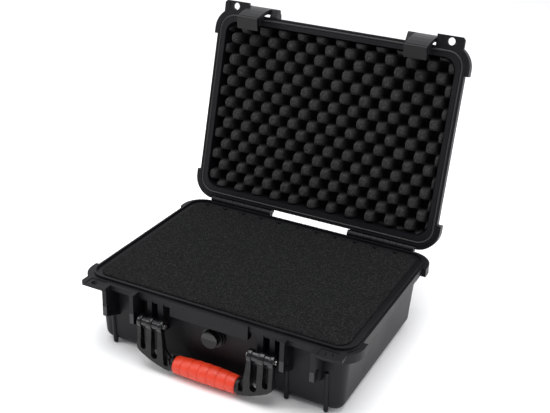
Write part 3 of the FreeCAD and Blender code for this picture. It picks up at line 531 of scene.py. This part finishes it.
def rounded_path(half_x, half_y, radius, steps=20):
    """Points and outward directions round a rectangle with round corners."""
    path = []
    for quarter, (sign_x, sign_y) in enumerate(((1, 1), (-1, 1), (-1, -1), (1, -1))):
        for step in range(steps + 1):
            angle = math.radians(90 * (quarter + step / steps))
            out = Vector((math.cos(angle), math.sin(angle), 0))
            corner = Vector((sign_x * (half_x - radius), sign_y * (half_y - radius), 0))
            path.append((corner + out * radius, out))
    return path


def make_seal():
    """Round-topped sealing ring that nearly fills the groove in the lid's rim."""
    low, high = closed_box("lid_gasket")
    centre = (low + high) / 2
    path = rounded_path((high.x - low.x) / 2, (high.y - low.y) / 2, SEAL_CORNER)
    crown = high.z - SEAL_GROOVE - SEAL_PROUD
    half = SEAL_WIDTH / 2
    arc = [math.radians(angle) for angle in range(0, 181, 20)]
    section = [(0, high.z)]
    section += [(-half + half * math.cos(angle), crown + half * (1 - math.sin(angle))) for angle in arc]
    section += [(-SEAL_WIDTH, high.z)]
    points, faces = [], []
    for place, out in path:
        for offset, height in section:
            points.append((centre.x + place.x + out.x * offset, centre.y + place.y + out.y * offset, height))
    count = len(section)
    for i in range(len(path)):
        for k in range(count):
            a, b = i * count + k, i * count + (k + 1) % count
            c, d = (i + 1) % len(path) * count + (k + 1) % count, (i + 1) % len(path) * count + k
            faces.append((a, b, c, d))
    piece = mesh_piece("lid_seal_ring", points, faces)
    piece.data.transform(LID_OPEN)
    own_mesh(piece)
    finish_piece(piece, "seal_rubber", "lid", "lid_gasket")


make_seal()


# ---------------------------------------------------------------- handle knuckles
# Spans along X of the right-hand fingers, from the grip outwards; the left-hand ones mirror them.
FINGERS = ((64.2 * MM, 71.0 * MM), (80.2 * MM, 89.0 * MM), (96.8 * MM, 102.8 * MM))
SLEEVE_RADIUS, SLEEVE_ROUND, SLEEVE_BORE = 8.7 * MM, 1.1 * MM, 4 * MM
ROUND_STEP = 15


def turned_piece(name, profile, centre, sides=72):
    """A ring turned about the X line through centre, from (x, radius) points in a closed loop."""
    points, faces = [], []
    for x, radius in profile:
        for k in range(sides):
            angle = 2 * math.pi * k / sides
            points.append((x, centre.y + radius * math.cos(angle), centre.z + radius * math.sin(angle)))
    count = len(profile)
    for i in range(count):
        for k in range(sides):
            a, b = i * sides + k, i * sides + (k + 1) % sides
            c, d = (i + 1) % count * sides + (k + 1) % sides, (i + 1) % count * sides + k
            faces.append((a, b, c, d))
    return mesh_piece(name, points, faces)


def knuckle_profile(low, high):
    """Closed outline of one knuckle as (x, radius) points, its outer edges rounded."""
    arc = [math.radians(angle) for angle in range(0, 91, ROUND_STEP)]
    inner, outer = SLEEVE_BORE, SLEEVE_RADIUS - SLEEVE_ROUND
    left = [(low + SLEEVE_ROUND * (1 - math.sin(a)), outer + SLEEVE_ROUND * math.cos(a)) for a in arc[::-1]]
    right = [(high - SLEEVE_ROUND * (1 - math.sin(a)), outer + SLEEVE_ROUND * math.cos(a)) for a in arc]
    return [(low, inner)] + left + right + [(high, inner)]


def make_knuckles():
    for side in (1, -1):
        for count, (near, far) in enumerate(FINGERS):
            low, high = sorted((side * near, side * far))
            name = f"handle_knuckle_{'right' if side > 0 else 'left'}_{count}"
            finish_piece(turned_piece(name, knuckle_profile(low, high), PIVOT), "trim_plastic", "handle")


make_knuckles()


# ---------------------------------------------------------------- handle grip
GRIP_SEGMENTS = 7
GROOVE_DEPTH, GROOVE_WIDTH, SEGMENT_CROWN = 0.7 * MM, 0.9 * MM, 0.35 * MM
END_ROUND, BAR_RADIUS, GRIP_SWELL = 2.2 * MM, 8.8 * MM, 2.8 * MM
SWELL_TILT, SWELL_BELOW = math.radians(20), 0.15
GRIP_STEPS, GRIP_SIDES = 280, 96


def make_grip():
    """Ringed sleeve: straight along its lower front side and bulging at its top and back."""
    low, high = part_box("handle_grip")
    centre_y, centre_z = (low[1] + high[1]) / 2, (low[2] + high[2]) / 2
    half, wide = (high[0] - low[0]) / 2, (high[2] - low[2]) / 2
    narrow = wide - GRIP_SWELL
    steps, turns = GRIP_STEPS, GRIP_SIDES
    points, faces = [], []
    segment = 2 * half / GRIP_SEGMENTS
    for i in range(steps + 1):
        x = -half + 2 * half * i / steps
        to_groove = abs((x + half + segment / 2) % segment - segment / 2)
        groove = GROOVE_DEPTH * math.exp(-((to_groove / GROOVE_WIDTH) ** 2) * 3)
        crown = SEGMENT_CROWN * math.sin(math.pi * ((x + half) % segment) / segment)
        if i in (0, steps) or to_groove >= half - abs(x) - 1e-6:
            groove = 0.0
        run = max(0.0, 1 - (half - abs(x)) / END_ROUND)
        end_drop = END_ROUND * (1 - math.sqrt(max(0.0, 1 - run * run)))
        bulge = 1 - (x / half) ** 2
        for k in range(turns):
            angle = 2 * math.pi * k / turns
            upward = 0.5 + 0.5 * math.sin(angle + SWELL_TILT)
            share = SWELL_BELOW + (1 - SWELL_BELOW) * upward
            radius = narrow - SEGMENT_CROWN + (wide - narrow) * bulge * share
            radius += crown - groove - end_drop
            points.append((x, centre_y + radius * math.cos(angle), centre_z + radius * math.sin(angle)))
    for i in range(steps):
        for k in range(turns):
            a, b = i * turns + k, i * turns + (k + 1) % turns
            faces.append((a, b, b + turns, a + turns))
    rims = []
    for x in (-half, half):
        rims.append(len(points))
        for k in range(turns):
            angle = 2 * math.pi * k / turns
            points.append((x, centre_y + BAR_RADIUS * math.cos(angle),
                           centre_z + BAR_RADIUS * math.sin(angle)))
    last = steps * turns
    for k in range(turns):
        n = (k + 1) % turns
        faces.append((k, rims[0] + k, rims[0] + n, n))
        faces.append((last + k, last + n, rims[1] + n, rims[1] + k))
        faces.append((rims[0] + k, rims[1] + k, rims[1] + n, rims[0] + n))
    piece = mesh_piece("grip_sleeve", points, faces)
    finish_piece(piece, "grip_rubber", "handle", "handle_grip")


make_grip()
